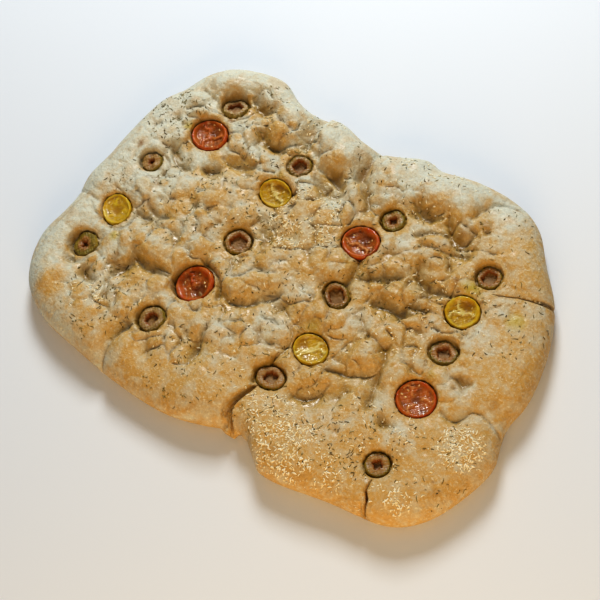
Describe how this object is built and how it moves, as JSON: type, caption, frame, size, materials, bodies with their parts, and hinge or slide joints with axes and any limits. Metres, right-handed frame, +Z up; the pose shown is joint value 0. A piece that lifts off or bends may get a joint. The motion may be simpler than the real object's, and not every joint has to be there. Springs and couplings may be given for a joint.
{
  "type": "focaccia",
  "caption": "Flat hand-shaped focaccia with dimpled golden crust, red and yellow cherry tomato slices, green olive rings, herbs and grated cheese.",
  "frame": {"origin": "centre of the loaf's box on the flat underside", "axes": "+X along the loaf, +Y across it, +Z up through the crust"},
  "size_m": [0.3386, 0.2364, 0.0276],
  "materials": {
    "crust": "dry baked crust, oiled in the hollows",
    "red_tomato": "wet roasted flesh",
    "yellow_tomato": "wet roasted flesh",
    "olive": "oiled olive skin and flesh",
    "herb": "dry herb",
    "cheese": "grated hard cheese, baked"
  },
  "bodies": {
    "root": {"bread": "crust", "tomato_red_1": "red_tomato", "tomato_red_2": "red_tomato", "tomato_red_3": "red_tomato", "tomato_red_4": "red_tomato", "tomato_yellow_1": "yellow_tomato", "tomato_yellow_2": "yellow_tomato", "tomato_yellow_3": "yellow_tomato", "tomato_yellow_4": "yellow_tomato", "olive_1": "olive", "olive_2": "olive", "olive_3": "olive", "olive_4": "olive", "olive_5": "olive", "olive_6": "olive", "olive_7": "olive", "olive_8": "olive", "olive_9": "olive", "olive_10": "olive", "olive_11": "olive", "olive_12": "olive"}
  },
  "joints": []
}
